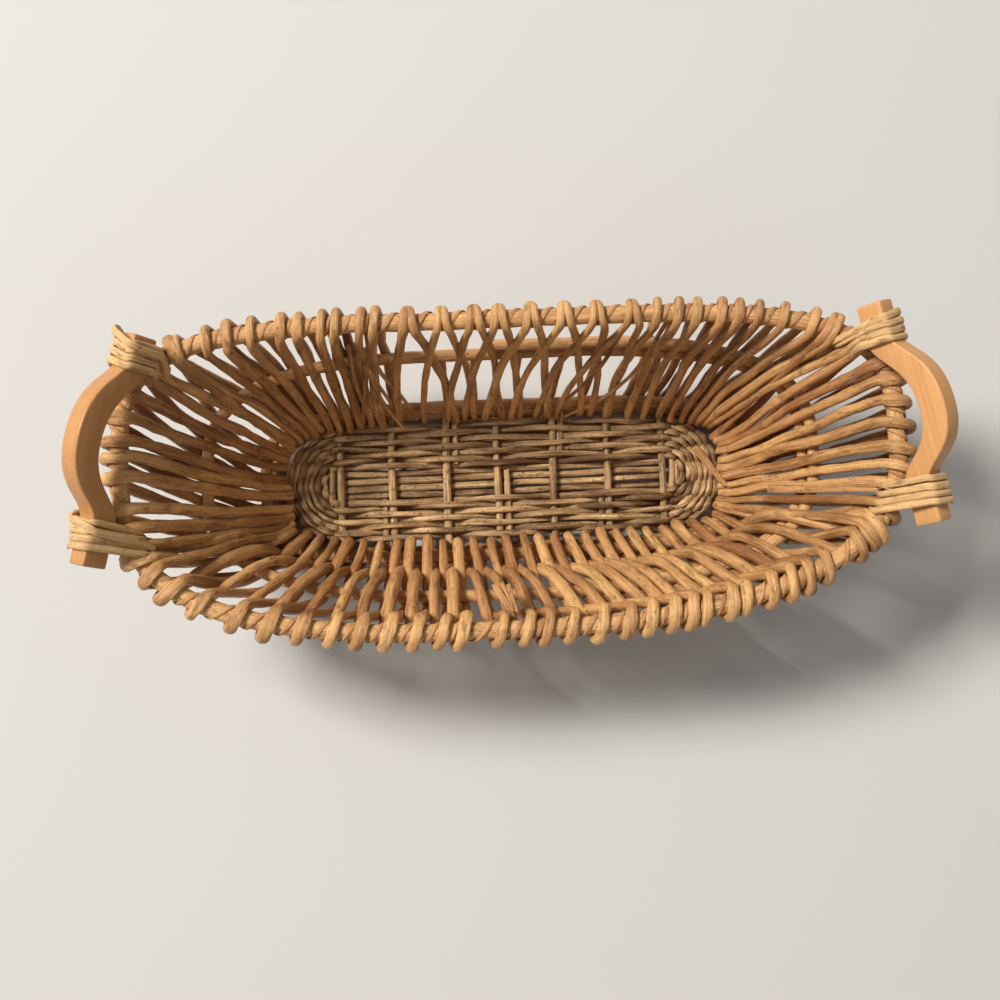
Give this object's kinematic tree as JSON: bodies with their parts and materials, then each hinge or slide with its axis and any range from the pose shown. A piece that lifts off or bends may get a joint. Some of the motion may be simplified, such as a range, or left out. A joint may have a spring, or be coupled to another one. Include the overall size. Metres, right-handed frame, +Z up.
{
  "type": "boat-shaped basket",
  "caption": "Boat-shaped open willow basket: woven oval base, wall rods looped over a stout rim hoop, and a wooden bow handle lashed to each end.",
  "frame": {"origin": "under the middle of the basket's outline, on the floor", "axes": "+X along the length towards the right handle, +Y towards the far side, +Z up"},
  "size_m": [0.557, 0.229, 0.1936],
  "materials": {
    "wall_willow": "satin",
    "hoop_willow": "satin",
    "base_willow": "matte",
    "handle_wood": "satin",
    "cane": "satin"
  },
  "bodies": {
    "root": {"base_cross_stick_1": "base_willow", "base_cross_stick_2": "base_willow", "base_cross_stick_3": "base_willow", "base_cross_stick_4": "base_willow", "base_cross_stick_5": "base_willow", "base_cross_stick_6": "base_willow", "base_cross_stick_7": "base_willow", "base_long_stick_1": "base_willow", "base_long_stick_2": "base_willow", "base_long_stick_3": "base_willow", "base_long_stick_4": "base_willow", "base_weaver_1": "base_willow", "base_weaver_2": "base_willow", "base_weaver_3": "base_willow", "base_weaver_4": "base_willow", "base_weaver_5": "base_willow", "base_weaver_6": "base_willow", "handle_left": "handle_wood", "handle_right": "handle_wood", "lashing_left_far": "cane", "lashing_left_near": "cane", "lashing_right_far": "cane", "lashing_right_near": "cane", "lower_base_hoop": "hoop_willow", "middle_hoop": "hoop_willow", "rim_hoop": "hoop_willow", "upper_base_hoop": "hoop_willow", "wall_rod_far_1": "wall_willow", "wall_rod_far_2": "wall_willow", "wall_rod_far_3": "wall_willow", "wall_rod_far_4": "wall_willow", "wall_rod_far_5": "wall_willow", "wall_rod_far_6": "wall_willow", "wall_rod_far_7": "wall_willow", "wall_rod_far_8": "wall_willow", "wall_rod_far_9": "wall_willow", "wall_rod_left_1": "wall_willow", "wall_rod_left_2": "wall_willow", "wall_rod_near_1": "wall_willow", "wall_rod_near_10": "wall_willow", "wall_rod_near_2": "wall_willow", "wall_rod_near_3": "wall_willow", "wall_rod_near_4": "wall_willow", "wall_rod_near_5": "wall_willow", "wall_rod_near_6": "wall_willow", "wall_rod_near_7": "wall_willow", "wall_rod_near_8": "wall_willow", "wall_rod_near_9": "wall_willow", "wall_rod_right_1": "wall_willow", "wall_rod_right_2": "wall_willow"}
  },
  "joints": []
}
